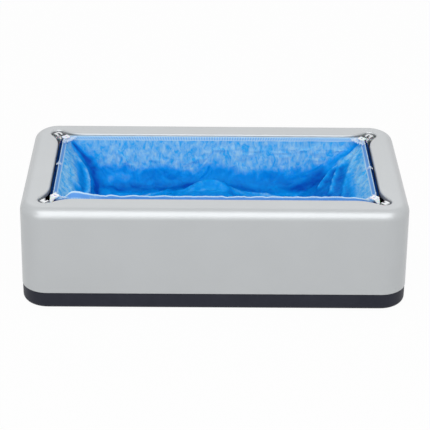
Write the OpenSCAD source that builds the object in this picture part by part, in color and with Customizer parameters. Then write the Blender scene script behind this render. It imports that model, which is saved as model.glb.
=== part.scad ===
// Shoe cover dispenser for covers with T-shaped corner buckles.
// A moulded housing stands on a black tray. Four aluminium rails in the corners
// carry stacks of buckles, springs push them up, and sprung clips hold the top cover open.
// Origin: middle of the footprint, on the floor. +X is the long way, -Y is the front, +Z is up.

/* [Overall] */
// Length over the ends of the housing
body_l = 430; // [410:1:470]
// Depth over the front and back of the housing
body_w = 230; // [215:1:260]
// Height from the floor to the top face
body_h = 124; // [120:1:150]
// Plan radius of the vertical corners, at the base line
corner_r = 30; // [26:1:36]

/* [Housing shell] */
// Wall of the housing
wall = 2.5; // [1.8:0.1:3.5]
// How far each side leans in, from the base line to the top
draft = 1.5; // [0.5:0.1:3]
// Radius that rounds the top edge
top_fillet = 11.5; // [6:0.5:13]
// Radius of the screw posts that hang from the top
post_r = 4.5; // [4:0.1:6]
// Distance of the front and back screw posts from the ends of the housing
post_end = 105; // [80:1:150]
// Distance of every screw post from the outer face of its side
post_inset = 16.5; // [15:0.5:20]
// Height of the stiffening gusset beside each post
gusset_h = 40; // [20:1:60]

/* [Opening] */
// Width of the top's border, from each side's base line to the opening
border = 32; // [30:0.5:38]
// Radius of the round ear in each corner of the opening
ear_r = 8.5; // [8.3:0.1:9.5]
// How far the centre of an ear lies outside the straight edges
ear_out = 2; // [1:0.5:3]
// Radius of the rolled rim
rim_r = 2.5; // [2:0.1:3.5]
// Depth of the turned-down rim
rim_h = 6; // [4:0.5:7]
// Depth of the sleeve that backs each rail
sleeve_h = 18; // [12:1:30]

/* [Tray] */
// Height of the parting line between tray and housing
tray_h = 22; // [16:1:30]
// Gap that the feet leave under the tray
foot_h = 2; // [1.5:0.5:5]
// Wall of the tray
tray_wall = 2.5; // [2:0.1:3.5]
// Floor of the tray
floor_t = 3; // [2.5:0.1:4]
// Radius that rounds the bottom edge
tray_round = 5; // [3.5:0.5:8]
// How far the tray sits back from the housing's face
tray_inset = 0.4; // [0.1:0.1:1]
// Height of the screw bosses above the parting line
boss_rise = 8; // [7:0.5:12]
// Plastic between a long screw's head and the top of its boss
boss_grip = 6; // [3:0.5:7]
// Height of the locating lip above the parting line
lip_h = 5; // [3:0.5:8]
// Thickness of the locating lip
lip_t = 1.6; // [1.2:0.1:2]
// Height of the stiffening ribs on the floor
rib_h = 2; // [1:0.5:4]
// Thickness of the stiffening ribs
rib_t = 1.5; // [1:0.1:2.5]
// Spacing of the ribs that run front to back
rib_step = 66; // [50:1:70]
// Spacing of the ribs that run the long way
rib_row = 30; // [20:1:32]
// How far the ribs stop short of the rails' centres
rib_end = 20; // [16:1:30]
// Radius of the rubber feet
foot_r = 9; // [6:0.5:12]
// How deep the feet sit in the tray
foot_recess = 1; // [0.5:0.1:1.5]
// Distance of the feet from the ends of the housing
foot_end = 65; // [60:1:100]
// Distance of the feet from the front and back of the housing
foot_side = 45; // [40:1:60]

/* [Guide rails] */
// Inside width of the channel
channel_w = 10.4; // [9:0.1:11]
// Inside depth of the channel
channel_d = 6.9; // [6.5:0.1:7.3]
// Wall of the channel
rail_wall = 1.2; // [1:0.1:1.3]
// Width of the slot that faces the foot
slot_w = 4.6; // [3.6:0.1:5]
// Height of the sockets that hold the rails' feet
socket_h = 9; // [6:0.5:12]
// Wall of the sockets
socket_wall = 2; // [1.5:0.1:3]
// How far the rails end below the top face
rail_drop = 5; // [4.5:0.5:8]

/* [Clips] */
// Thickness of the spring steel strip
clip_t = 0.6; // [0.4:0.1:0.8]
// Width of the strip
clip_w = 8; // [6:0.5:8.5]
// Gap between the two claws
claw_gap = 3.2; // [3:0.1:4]
// Inside radius of the bends
clip_bend = 1.4; // [1:0.1:1.6]
// How far the clip's top lies below the top face
clip_drop = 1.5; // [1:0.5:3]
// Length of the leg on the rail's back
clip_leg = 14; // [12:1:17]
// Radius of the rivet's shank
rivet_r = 1.05; // [0.8:0.05:1.3]

/* [Followers and springs] */
// Height of a follower
pusher_h = 12; // [10:0.5:16]
// Travel of the followers, from this fill down to the closed springs
stroke = 34; // [20:1:36]
// Diameter of the spring wire
wire_d = 0.7; // [0.5:0.05:0.8]
// Outside radius of the springs
spring_r = 3; // [2.6:0.1:3.1]
// Turns of a spring
spring_turns = 12; // [8:1:14]
// Height of the block that a spring stands on
seat_h = 5; // [4:0.5:7]
// Radius of the pegs inside the springs
peg_r = 1.9; // [1.4:0.1:2]
// Length of the pegs
peg_h = 5; // [3:0.5:6]

/* [Buckles] */
// Buckles in one stack
buckle_n = 25; // [10:1:26]
// Thickness of one buckle
buckle_t = 1.2; // [1:0.1:1.3]
// Step from one buckle to the next
buckle_pitch = 1.6; // [1.4:0.1:1.7]
// Width of a buckle's neck, where it passes the slot
neck_w = 2.6; // [2:0.1:2.8]
// Length of the stacked buckles, from the middle of the rail
tail_l = 9; // [7:0.5:9]
// Width of the top buckle's pad
pad_w = 8.4; // [6:0.2:10]
// Length of the top buckle, from the middle of the rail to the end of its pad
pad_reach = 17; // [15:0.5:20]
// Length of the pad
pad_l = 7; // [5:0.5:8]

/* [Covers] */
// Slit between the film and the ends of the opening
side_slit = 4; // [3:0.5:6]
// Slit between the film and the long edges of the opening
long_slit = 1.5; // [1:0.5:4]
// How far the film's hem lies below the top face
hem_drop = 2; // [1.8:0.1:3]
// Thickness of the opened film with its folds
film_t = 1.4; // [1:0.1:2]
// Thickness of the pack of covers under the pocket
pack_t = 16; // [10:1:16]
// Thickness of the pack's piled hems at its sides
hem_t = 2.6; // [2:0.1:3]
// How far the pocket's ends slope in, from hem to floor
end_slope = 46; // [30:1:60]
// How far the pocket's front and back slope in
side_slope = 18; // [10:1:30]
// How much further the right end slopes in, where the film is drawn to one side
right_lean = 36; // [0:1:45]
// How far the corners of the pocket's floor are cut
floor_cut = 24; // [10:1:30]
// Height of the fold that stands in the middle of the pocket
crest_h = 15; // [0:1:18]
// Height of the loose film on the rest of the floor
loose_h = 2.5; // [0:0.5:5]

/* [Clearances] */
// Clearance of what slides in the rails
slide_gap = 0.3; // [0.2:0.05:0.4]
// Clearance of what is fixed
fix_gap = 0.2; // [0.1:0.05:0.3]
// Clearance round soft parts
soft_gap = 0.5; // [0.3:0.1:1]
// Clearance of a screw in a bore that it cuts no thread in
screw_gap = 0.3; // [0.2:0.05:0.5]
// Clearance of a screw in the pilot hole that it bites into
pilot_gap = 0.02; // [0.01:0.01:0.1]

/* [Screws] */
// Radius of the screws' shanks
screw_r = 1.5; // [1.2:0.1:2]
// Radius of the screws' heads
head_r = 2.9; // [2.5:0.1:3.2]
// Height of the screws' heads
head_h = 1.6; // [1.2:0.1:2]
// How far the long screws reach into the housing's posts
post_bite = 14; // [8:1:20]

/* [Hidden] */

silver = "#c9cdd1";
black = "#26282e";
steel = "#d8d9dc";
alloy = "#b9bcc2";
film_blue = "#2a93e6";
pack_blue = "#0b5fb4";
milky = "#e8edf2";
grey = "#8d9299";

round_fn = 96;
small_fn = 40;

// Corner centres of the plan outline, half the opening, centres of the ears and of the feet
corner_x = body_l / 2 - corner_r;
corner_y = body_w / 2 - corner_r;
opening_x = body_l / 2 - border;
opening_y = body_w / 2 - border;
ear_x = opening_x + ear_out;
ear_y = opening_y + ear_out;
foot_x = body_l / 2 - foot_end;
foot_y = body_w / 2 - foot_side;

// The blends touch the straight edges and the ears. Their centres lie on a 3-4-5 triangle, so
// every tangent point has a round coordinate, and the swept rim closes on itself
blend_a = atan2(3, 4);
blend_r = 5 * ear_out + 4 * ear_r;
blend_x = (blend_r + ear_r) * 3 / 5;

// Top edge of the shell
fillet_z = body_h - top_fillet;
flat_r = corner_r - draft - top_fillet;

// Tray heights
floor_z = foot_h + floor_t;
boss_top = tray_h + boss_rise;
head_z = boss_top - boss_grip;

// Rail section, along the diagonal: inner faces of its front and back
front_in = -3;
back_in = front_in + channel_d;
back_out = back_in + rail_wall;
front_out = front_in - rail_wall;
rail_w = channel_w + 2 * rail_wall;
rail_top = body_h - rail_drop;
mid_a = (front_in + back_in) / 2;

// Clip, buckles and followers, from the top down
clip_top = body_h - clip_drop;
claw_a = front_in + slide_gap + clip_t;
claw_z = rail_top - 1.1;
rivet_z = clip_top - clip_leg + 3;
top_buckle_z = claw_z - slide_gap - buckle_t;
stack_top = top_buckle_z - slide_gap;
stack_z = stack_top - buckle_n * buckle_pitch;
pusher_z = stack_z - pusher_h;
seat_top = floor_z + seat_h;

// Film heights
hem_z = body_h - hem_drop;
pack_z = floor_z + rib_h + stroke + 1;
pack_top = pack_z + pack_t;
pocket_z = pack_top + soft_gap;
pack_hem_z = top_buckle_z - slide_gap;
film_x = opening_x - side_slit;
film_y = opening_y - long_slit;
fold_long = 28;
fold_short = 14;
fold_cut = 3;

// Shapes shared by several parts

module rounded_plan(half_x, half_y, r) {
    square([2 * half_x, 2 * (half_y - r)], center = true);
    square([2 * (half_x - r), 2 * half_y], center = true);
    for (sx = [-1, 1], sy = [-1, 1])
        translate([sx * (half_x - r), sy * (half_y - r)])
            circle(r, $fn = round_fn);
}

// Carries a section round the plan outline: x is the distance from the corner centres
module around() {
    for (turn = [0 : 3]) {
        sx = turn == 0 || turn == 3 ? 1 : -1;
        sy = turn < 2 ? 1 : -1;
        translate([sx * corner_x, sy * corner_y, 0])
            rotate([0, 0, 90 * turn])
                rotate_extrude(angle = 90, $fn = round_fn)
                    children();
    }
    for (turn = [0, 180])
        rotate([0, 0, turn]) {
            translate([-corner_x, corner_y, 0])
                rotate([90, 0, 90])
                    linear_extrude(2 * corner_x)
                        children();
            translate([corner_x, corner_y, 0])
                rotate([90, 0, 0])
                    linear_extrude(2 * corner_y)
                        children();
        }
}

module all_corners() {
    for (mx = [0, 1], my = [0, 1])
        mirror([mx, 0, 0])
            mirror([0, my, 0])
                children();
}

// Local frame of a rail: x runs outwards along the diagonal, y across it
module at_ear(sx, sy) {
    translate([sx * ear_x, sy * ear_y, 0])
        rotate([0, 0, atan2(sy, sx)])
            children();
}

// Housing: one moulded shell, open below, with the eared foot opening

module wall_section() {
    polygon([[corner_r - wall, tray_h], [corner_r, tray_h],
        [corner_r - draft, fillet_z], [corner_r - draft - wall, fillet_z]]);
    translate([flat_r, fillet_z])
        intersection() {
            difference() {
                circle(top_fillet, $fn = round_fn);
                circle(top_fillet - wall, $fn = round_fn);
            }
            square(top_fillet);
        }
}

// The opening's outline, grown outwards by a distance: a rectangle, four ears and their blends
module opening_plan(grow) {
    square([2 * (opening_x + grow), 2 * (opening_y + grow)], center = true);
    for (sx = [-1, 1], sy = [-1, 1])
        scale([sx, sy])
            translate([ear_x, ear_y]) {
                circle(ear_r + grow, $fn = round_fn);
                blend_plan(grow);
                mirror([1, -1])
                    blend_plan(grow);
            }
}

// Corner between a long edge and an ear, from the ear's centre
module blend_plan(grow) {
    difference() {
        polygon([[-blend_x, grow - ear_out], [0, -ear_out], [0, 0], [-0.6, 0.8] * (ear_r + grow)]);
        translate([-blend_x, blend_r - ear_out])
            circle(blend_r - grow, $fn = round_fn);
    }
}

// Section of the rim, from the opening's edge into the shell: rolled over, then turned down
module rim_section(depth) {
    translate([0, body_h - depth])
        square([rim_r, depth - rim_r]);
    translate([rim_r, body_h - rim_r])
        intersection() {
            circle(rim_r, $fn = round_fn);
            translate([-rim_r, 0])
                square(rim_r);
        }
}

// Carries the rim round one ear and the two blends beside it
module ear_rim() {
    for (part = [[-blend_a, blend_a], [0, 90], [90, blend_a]])
        rotate([0, 0, part[0]])
            rotate_extrude(angle = part[1], $fn = round_fn)
                translate([ear_r, 0])
                    rim_section(sleeve_h);
    for (flip = [0, 1])
        mirror([flip, -flip, 0])
            translate([-blend_x, blend_r - ear_out, 0])
                rotate([0, 0, -90])
                    rotate_extrude(angle = blend_a, $fn = round_fn)
                        translate([blend_r, 0])
                            mirror([1, 0])
                                rim_section(rim_h);
}

module opening_rim() {
    for (mx = [0, 1], my = [0, 1])
        mirror([mx, 0, 0])
            mirror([0, my, 0])
                translate([ear_x, ear_y, 0])
                    ear_rim();
    for (turn = [0, 180])
        rotate([0, 0, turn]) {
            translate([blend_x - ear_x, opening_y, 0])
                rotate([90, 0, 90])
                    linear_extrude(2 * (ear_x - blend_x))
                        rim_section(rim_h);
            translate([opening_x, ear_y - blend_x, 0])
                rotate([90, 0, 0])
                    linear_extrude(2 * (ear_y - blend_x))
                        rim_section(rim_h);
        }
}

// Places of the screw posts, each with the angle that faces the outer wall
function post_places() = [
    for (sx = [-1, 1], sy = [-1, 1]) [sx * (body_l / 2 - post_end), sy * (body_w / 2 - post_inset), sy * 90],
    for (sx = [-1, 1]) [sx * (body_l / 2 - post_inset), 0, sx > 0 ? 0 : 180]
];

module screw_post() {
    difference() {
        translate([0, 0, boss_top])
            cylinder(h = body_h - wall / 2 - boss_top, r = post_r, $fn = small_fn);
        translate([0, 0, boss_top - 1])
            cylinder(h = post_bite + 3, r = screw_r + pilot_gap, $fn = small_fn);
    }
    gusset_root = post_r - 0.5;
    gusset_end = post_inset - draft - wall / 2;
    bend_x = post_inset - draft - top_fillet;
    bend_r = top_fillet - wall / 2;
    translate([0, rib_t / 2, 0])
        rotate([90, 0, 0])
            linear_extrude(rib_t)
                polygon([[gusset_root, fillet_z - gusset_h], [gusset_end, fillet_z - gusset_h],
                    [gusset_end, fillet_z], [bend_x + bend_r * sin(45), fillet_z + bend_r * cos(45)],
                    [gusset_root, fillet_z + bend_r * cos(20)]]);
}

module housing() {
    color(silver) {
        translate([0, 0, body_h - wall])
            linear_extrude(wall)
                difference() {
                    rounded_plan(corner_x + flat_r, corner_y + flat_r, flat_r);
                    opening_plan(rim_r);
                }
        opening_rim();
        around()
            wall_section();
        for (place = post_places())
            translate([place[0], place[1], 0])
                rotate([0, 0, place[2]])
                    screw_post();
    }
}

// Tray: black moulded base with a rounded bottom edge and a lip inside the housing

module tray_section() {
    outer = corner_r - tray_inset;
    bend_r = outer - tray_round;
    bend_z = foot_h + tray_round;
    translate([outer - tray_wall, bend_z])
        square([tray_wall, tray_h - bend_z]);
    difference() {
        translate([bend_r, bend_z])
            intersection() {
                circle(tray_round, $fn = round_fn);
                translate([0, -tray_round])
                    square(tray_round);
            }
        translate([bend_r - 1, floor_z])
            square([tray_round - tray_wall + 1, tray_round]);
    }
    lip_outer = corner_r - wall - slide_gap;
    translate([lip_outer - lip_t, tray_h - lip_h])
        square([tray_wall, lip_h]);
    translate([lip_outer - lip_t, tray_h])
        square([lip_t, lip_h]);
}

module rail_socket() {
    grip_a = front_out - fix_gap;
    grip_l = back_out - front_out + 2 * fix_gap;
    grip_w = rail_w + 2 * fix_gap;
    difference() {
        translate([grip_a - socket_wall, -grip_w / 2 - socket_wall, floor_z - 0.5])
            cube([grip_l + 2 * socket_wall, grip_w + 2 * socket_wall, socket_h + 0.5]);
        translate([grip_a, -grip_w / 2, floor_z])
            cube([grip_l, grip_w, socket_h + 1]);
    }
}

module base_tray() {
    floor_r = corner_r - tray_inset - tray_round;
    color(black)
        difference() {
            union() {
                translate([0, 0, foot_h])
                    linear_extrude(floor_t)
                        rounded_plan(corner_x + floor_r, corner_y + floor_r, floor_r);
                around()
                    tray_section();
                for (sx = [-1, 1], sy = [-1, 1])
                    at_ear(sx, sy)
                        rail_socket();
                for (place = post_places())
                    translate([place[0], place[1], floor_z - 0.5])
                        cylinder(h = boss_top - floor_z + 0.5, r = post_r + 1.2, $fn = small_fn);
                for (sy = [-1, 0, 1])
                    translate([rib_end - ear_x, sy * rib_row - rib_t / 2, floor_z - 0.5])
                        cube([2 * (ear_x - rib_end), rib_t, rib_h + 0.5]);
                for (sx = [-2 : 2])
                    translate([sx * rib_step - rib_t / 2, rib_end - ear_y, floor_z - 0.5])
                        cube([rib_t, 2 * (ear_y - rib_end), rib_h + 0.5]);
            }
            for (place = post_places())
                translate([place[0], place[1], 0]) {
                    cylinder(h = boss_top + 1, r = screw_r + screw_gap, $fn = small_fn);
                    cylinder(h = head_z, r = head_r + screw_gap, $fn = small_fn);
                }
            for (sx = [-1, 1], sy = [-1, 1]) {
                translate([sx * foot_x, sy * foot_y, 0])
                    cylinder(h = foot_h + foot_recess, r = foot_r + fix_gap, $fn = round_fn);
                at_ear(sx, sy)
                    translate([mid_a, 0, 0]) {
                        cylinder(h = floor_z + 1, r = screw_r + screw_gap, $fn = small_fn);
                        cylinder(h = foot_h + head_h, r = head_r + screw_gap, $fn = small_fn);
                    }
            }
        }
}

module rubber_feet() {
    color(grey)
        for (sx = [-1, 1], sy = [-1, 1])
            translate([sx * foot_x, sy * foot_y, 0])
                rotate_extrude($fn = round_fn)
                    polygon([[0, 0], [foot_r - 0.8, 0], [foot_r, 0.8], [foot_r, foot_h + foot_recess],
                        [0, foot_h + foot_recess]]);
}

// A pan-head screw that points up, with its seat at z = 0
module screw(length) {
    difference() {
        rotate_extrude($fn = small_fn)
            polygon([[0, -head_h], [head_r - 0.5, -head_h], [head_r, -head_h + 0.5], [head_r, 0],
                [screw_r, 0], [screw_r, length - 1], [0.5, length], [0, length]]);
        for (turn = [0, 90])
            rotate([0, 0, turn])
                translate([-1.6, -0.3, -head_h - 0.1])
                    cube([3.2, 0.6, 0.9]);
    }
}

module housing_screws() {
    color(steel)
        for (place = post_places())
            translate([place[0], place[1], head_z])
                screw(boss_top - head_z + post_bite);
}

module seat_screws() {
    color(steel)
        for (sx = [-1, 1], sy = [-1, 1])
            at_ear(sx, sy)
                translate([mid_a, 0, foot_h + head_h])
                    screw(floor_z - foot_h - head_h + seat_h + peg_h / 2);
}

// Guide rail: extruded channel, its slot towards the foot

module rail_plan() {
    depth = back_out - front_out;
    round = 0.8;
    difference() {
        translate([(front_out + back_out) / 2, 0])
            rounded_plan(depth / 2, rail_w / 2, round);
        translate([front_in, -channel_w / 2])
            square([channel_d, channel_w]);
        translate([front_out - 1, -slot_w / 2])
            square([rail_wall + 2, slot_w]);
    }
}

module guide_rail(sx, sy) {
    color(alloy)
        at_ear(sx, sy)
            difference() {
                translate([0, 0, floor_z])
                    linear_extrude(rail_top - floor_z)
                        rail_plan();
                translate([back_in - 1, 0, rivet_z])
                    rotate([0, 90, 0])
                        cylinder(h = rail_wall + 2, r = rivet_r + fix_gap / 4, $fn = small_fn);
            }
}

// Spring clip: a strip riveted to the rail's back, bent over its end into two claws

module bend(turn) {
    rotate([0, 0, turn])
        intersection() {
            difference() {
                circle(clip_bend + clip_t, $fn = small_fn);
                circle(clip_bend, $fn = small_fn);
            }
            square(clip_bend + clip_t);
        }
}

// Side view of the strip: x along the diagonal, y up
module clip_side() {
    arc_z = clip_top - clip_t - clip_bend;
    back_arc = back_out + fix_gap / 4 - clip_bend;
    claw_arc = claw_a + clip_bend;
    translate([back_arc + clip_bend, clip_top - clip_leg])
        square([clip_t, arc_z - clip_top + clip_leg]);
    translate([back_arc, arc_z])
        bend(0);
    translate([claw_arc, clip_top - clip_t])
        square([back_arc - claw_arc, clip_t]);
    translate([claw_arc, arc_z])
        bend(90);
    translate([claw_a - clip_t, claw_z])
        square([clip_t, arc_z - claw_z]);
}

module spring_clip(sx, sy) {
    color(steel)
        at_ear(sx, sy)
            difference() {
                translate([0, clip_w / 2, 0])
                    rotate([90, 0, 0])
                        linear_extrude(clip_w)
                            clip_side();
                translate([claw_a - clip_t - 1, -claw_gap / 2, claw_z - 1])
                    cube([mid_a - claw_a + clip_t + 2, claw_gap, clip_top]);
                translate([back_out - 1, 0, rivet_z])
                    rotate([0, 90, 0])
                        cylinder(h = clip_t + 3, r = rivet_r + fix_gap / 4, $fn = small_fn);
            }
}

module clip_rivets() {
    head_a = back_out + fix_gap / 4 + clip_t;
    color(steel)
        for (sx = [-1, 1], sy = [-1, 1])
            at_ear(sx, sy)
                translate([back_in + 0.1, 0, rivet_z])
                    rotate([0, 90, 0])
                        rotate_extrude($fn = small_fn)
                            polygon([[0, 0], [rivet_r, 0], [rivet_r, head_a - back_in - 0.1],
                                [rivet_r + 1, head_a - back_in - 0.1], [rivet_r + 0.6, head_a - back_in + 0.4],
                                [0, head_a - back_in + 0.6]]);
}

// Spring seat: a block in the rail's foot, screwed to the tray, with a peg for the spring

module spring_seat(sx, sy) {
    block_l = channel_d - 2 * fix_gap;
    block_w = channel_w - 2 * fix_gap;
    color(black)
        at_ear(sx, sy)
            translate([mid_a, 0, floor_z])
                difference() {
                    union() {
                        translate([-block_l / 2, -block_w / 2, 0])
                            cube([block_l, block_w, seat_h]);
                        cylinder(h = seat_h + peg_h, r = peg_r, $fn = small_fn);
                    }
                    translate([0, 0, -1])
                        cylinder(h = seat_h + peg_h / 2 + 1.5, r = screw_r + pilot_gap, $fn = small_fn);
                }
}

// Compression spring: a wire swept along a helix, with flat closed ends

function coil_height(t) = let (low = seat_top + wire_d / 2, high = pusher_z - wire_d / 2, turns = spring_turns)
    t < 1 ? low + wire_d * t
    : t > turns - 1 ? high - wire_d * (turns - t)
    : low + wire_d + (high - low - 2 * wire_d) * (t - 1) / (turns - 2);

module lift_spring(sx, sy) {
    steps = 10;
    sides = 5;
    count = spring_turns * steps;
    path_r = spring_r - wire_d / 2;
    points = [
        for (i = [0 : count], k = [0 : sides - 1])
            let (t = i / steps, r = path_r + wire_d / 2 * cos(360 * k / sides))
            [r * cos(360 * t), r * sin(360 * t), coil_height(t) + wire_d / 2 * sin(360 * k / sides)]
    ];
    sleeve = [
        for (i = [0 : count - 1], k = [0 : sides - 1])
            let (a = i * sides + k, b = i * sides + (k + 1) % sides)
            each [[a, b, b + sides], [a, b + sides, a + sides]]
    ];
    first_end = [[for (k = [sides - 1 : -1 : 0]) k]];
    last_end = [[for (k = [0 : sides - 1]) count * sides + k]];
    color(steel)
        at_ear(sx, sy)
            translate([mid_a, 0, 0])
                polyhedron(points, concat(sleeve, first_end, last_end));
}

// Outline of a buckle or follower in its rail: a head in the channel and a neck out of the slot
module tee_plan(neck, reach) {
    head_l = channel_d - 2 * slide_gap;
    head_w = channel_w - 2 * slide_gap;
    translate([front_in + slide_gap, -head_w / 2])
        square([head_l, head_w]);
    translate([-reach, -neck / 2])
        square([reach + front_in + slide_gap + 1, neck]);
}

module pusher(sx, sy) {
    color(grey)
        at_ear(sx, sy) {
            translate([0, 0, pusher_z])
                linear_extrude(pusher_h)
                    tee_plan(slot_w - 2 * slide_gap, tail_l - 2);
            translate([mid_a, 0, pusher_z - peg_h])
                cylinder(h = peg_h + 0.5, r = peg_r, $fn = small_fn);
        }
}

// Stack of buckles on a follower, each with a slightly smaller land under it
module buckle_stack(sx, sy) {
    color(milky)
        at_ear(sx, sy)
            for (i = [0 : buckle_n - 1])
                translate([0, 0, stack_z + i * buckle_pitch]) {
                    linear_extrude(buckle_pitch - buckle_t)
                        land_plan();
                    translate([0, 0, buckle_pitch - buckle_t])
                        linear_extrude(buckle_t)
                            tee_plan(neck_w, tail_l);
                }
}

module land_plan() {
    head_l = channel_d - 2 * slide_gap - 1;
    head_w = channel_w - 2 * slide_gap - 1;
    translate([front_in + slide_gap + 0.5, -head_w / 2])
        square([head_l, head_w]);
}

// Buckle of the opened cover: its head lies under the claws, its pad holds the film's corner
module top_buckle(sx, sy) {
    pad_z = hem_z + 0.3;
    rise_a = -tail_l + 3;
    pad_a = -pad_reach + pad_l;
    reach = front_in + slide_gap + channel_d - 2 * slide_gap;
    color(milky)
        at_ear(sx, sy)
            intersection() {
                translate([0, 0, top_buckle_z - 1])
                    linear_extrude(body_h)
                        difference() {
                            union() {
                                tee_plan(neck_w, -rise_a);
                                polygon([[rise_a + 1, -neck_w / 2], [rise_a + 1, neck_w / 2],
                                    [rise_a, neck_w / 2], [pad_a, pad_w / 2],
                                    [pad_a, -pad_w / 2], [rise_a, -neck_w / 2]]);
                                translate([-pad_reach + 2, 0])
                                    rounded_plan(2, pad_w / 2, 1.9);
                                translate([-pad_reach + 2, -pad_w / 2])
                                    square([pad_l - 2, pad_w]);
                            }
                            translate([-pad_reach + 3, -pad_w / 4])
                                square([1.6, pad_w / 2]);
                        }
                translate([0, pad_w, 0])
                    rotate([90, 0, 0])
                        linear_extrude(2 * pad_w)
                            polygon([[reach, top_buckle_z], [reach, top_buckle_z + buckle_t],
                                [rise_a, top_buckle_z + buckle_t], [pad_a, pad_z + buckle_t],
                                [-pad_reach - 1, pad_z + buckle_t], [-pad_reach - 1, pad_z],
                                [pad_a, pad_z], [rise_a, top_buckle_z]]);
            }
}

// Film: rings of points from the hem down to the middle of the floor

function steps_between(p, q, n) = [for (i = [0 : n - 1]) p + (q - p) * i / n];

// Outline of one ring: a rectangle with cut corners, anticlockwise
function ring_plan(x, y, cut) = let (
        a = [x, cut - y], b = [x, y - cut], c = [x - cut, y], d = [cut - x, y],
        e = [-x, y - cut], f = [-x, cut - y], g = [cut - x, -y], h = [x - cut, -y])
    concat(steps_between(a, b, fold_short), steps_between(b, c, fold_cut),
        steps_between(c, d, fold_long), steps_between(d, e, fold_cut),
        steps_between(e, f, fold_short), steps_between(f, g, fold_cut),
        steps_between(g, h, fold_long), steps_between(h, a, fold_cut));

function bell(v) = exp(-v * v);
function reversed(list) = [for (i = [len(list) - 1 : -1 : 0]) list[i]];

// Height that the standing fold and the loose film add to the floor; both follow the film's size
function loose_film(x, y) = let (u = x / film_x, v = y / film_y)
    crest_h * bell((u + 0.03) / 0.29) * bell((v - 0.32) / 0.36)
    + loose_h * bell((abs(u) - 0.53) / 0.145) * (1 + sin(1250 * u + 410 * v)) / 2;

// A row is [half x, half y, corner cut, height, share of the loose film, lean of the right end]
function grown(row, g) = [row[0] + g, row[1] + g, row[2] + (2 - sqrt(2)) * g, row[3], row[4], row[5]];
function lift(row, h) = [row[0], row[1], row[2], row[3] + h, row[4], row[5]];
function ring(row) = [
    for (p = ring_plan(row[0], row[1], row[2]))
        [p[0] - row[5] * max(0, p[0] / row[0]), p[1], row[3] + row[4] * loose_film(p[0], p[1])]
];
function middle(row) = [0, 0, row[3] + row[4] * loose_film(0, 0)];

// Cut that keeps the corner of a ring a distance inside the middle of the rail
function corner_cut(x, y, a) = x + y - ear_x - ear_y + a * sqrt(2);

// Row of the pocket's outer face: how much of each slope it has taken, its corner cut and its height
function pocket_row(long_part, side_part, cut, z, loose, lean) =
    [film_x - end_slope * long_part, film_y - side_slope * side_part, cut, z, loose, right_lean * lean];

// Rows of the pocket's outer face, from the hem down; the first five are its sides
pocket_rows = let (top = hem_z - film_t, deep = top - pocket_z, hem_a = pad_reach - pad_l + 1) [
    [film_x, film_y, corner_cut(film_x, film_y, hem_a), hem_z, 0, 0],
    [film_x - 1, film_y - 1, corner_cut(film_x, film_y, hem_a + 1), top - 2, 0, 0],
    pocket_row(0.2, 0.2, floor_cut * 0.4, top - deep * 0.3, 0, 0.02),
    pocket_row(0.5, 0.45, floor_cut * 0.6, top - deep * 0.62, 0, 0.35),
    pocket_row(0.8, 0.8, floor_cut * 0.85, pocket_z + deep * 0.1, 0.1, 0.9),
    pocket_row(1.05, 1.2, floor_cut, pocket_z, 0.6, 1),
    pocket_row(1.6, 2, floor_cut * 0.85, pocket_z, 1, 0.8),
    [film_x * 0.36, film_y * 0.32, floor_cut * 0.4, pocket_z, 1, right_lean * 0.5],
    [film_x * 0.12, film_y * 0.1, floor_cut * 0.12, pocket_z, 1, right_lean * 0.15]
];

// The same surface moved outwards by g: the sides spread, the floor drops
function pocket_at(g) = [
    for (i = [0 : len(pocket_rows) - 1])
        lift(grown(pocket_rows[i], i < 6 ? g : 0), i > 3 ? -g : 0)
];

// Closed skin between two sets of rows that meet at the hem. Facets are cut along the same
// diagonal on both faces, so that nested skins stay parallel
module film_solid(outer, inner) {
    rows = concat(reversed(outer), inner);
    count = 2 * (fold_long + fold_short + 2 * fold_cut);
    total = len(rows);
    points = concat([for (row = rows) each ring(row)], [middle(rows[0]), middle(rows[total - 1])]);
    low = total * count;
    sides = [
        for (i = [0 : total - 2], k = [0 : count - 1])
            let (a = i * count + k, b = i * count + (k + 1) % count)
            each i < len(outer) - 1
                ? [[a, a + count, b], [b, a + count, b + count]]
                : [[a, b + count, b], [a, a + count, b + count]]
    ];
    caps = [
        for (k = [0 : count - 1])
            let (m = (k + 1) % count, last = (total - 1) * count)
            each [[low, k, m], [low + 1, last + m, last + k]]
    ];
    polyhedron(points, concat(sides, caps));
}

module top_cover() {
    color(film_blue)
        film_solid(pocket_at(0), pocket_at(-film_t));
}

// Pack of folded covers: a trough under the pocket, its hems piled at the level of the buckles
module cover_pack() {
    inner = pocket_at(soft_gap);
    hem_x = film_x - 1 + soft_gap;
    hem_y = film_y - 1 + soft_gap;
    out_x = hem_x + hem_t;
    out_y = hem_y + hem_t;
    tail_a = tail_l + soft_gap;
    deep = pack_hem_z - pack_z;
    lean_x = end_slope * 0.65;
    lean_y = side_slope * 1.1;
    low_z = pack_z + deep * 0.1;
    half_z = pack_hem_z - deep * 0.6;
    outer = [
        [out_x, out_y, corner_cut(out_x, out_y, tail_a), pack_hem_z, 0, 0],
        [out_x - 1, out_y - 2, corner_cut(out_x, out_y, tail_a), pack_hem_z - deep * 0.3, 0, 0],
        [out_x - lean_x * 0.2, out_y - lean_y * 0.25, floor_cut * 0.5, half_z, 0, right_lean * 0.3],
        [out_x - lean_x * 0.6, out_y - lean_y * 0.55, floor_cut * 0.75, low_z, 0, right_lean * 0.65],
        [out_x - lean_x, out_y - lean_y, floor_cut, pack_z, 0, right_lean * 0.8],
        [out_x * 0.6, out_y * 0.5, floor_cut * 0.7, pack_z, 0, right_lean * 0.5],
        [out_x * 0.3, out_y * 0.25, floor_cut * 0.35, pack_z, 0, right_lean * 0.25]
    ];
    mouth = [hem_x, hem_y, inner[1][2], pack_hem_z, 0, 0];
    color(pack_blue)
        film_solid(outer, concat([mouth], [for (i = [2 : len(inner) - 1]) inner[i]]));
}

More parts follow.
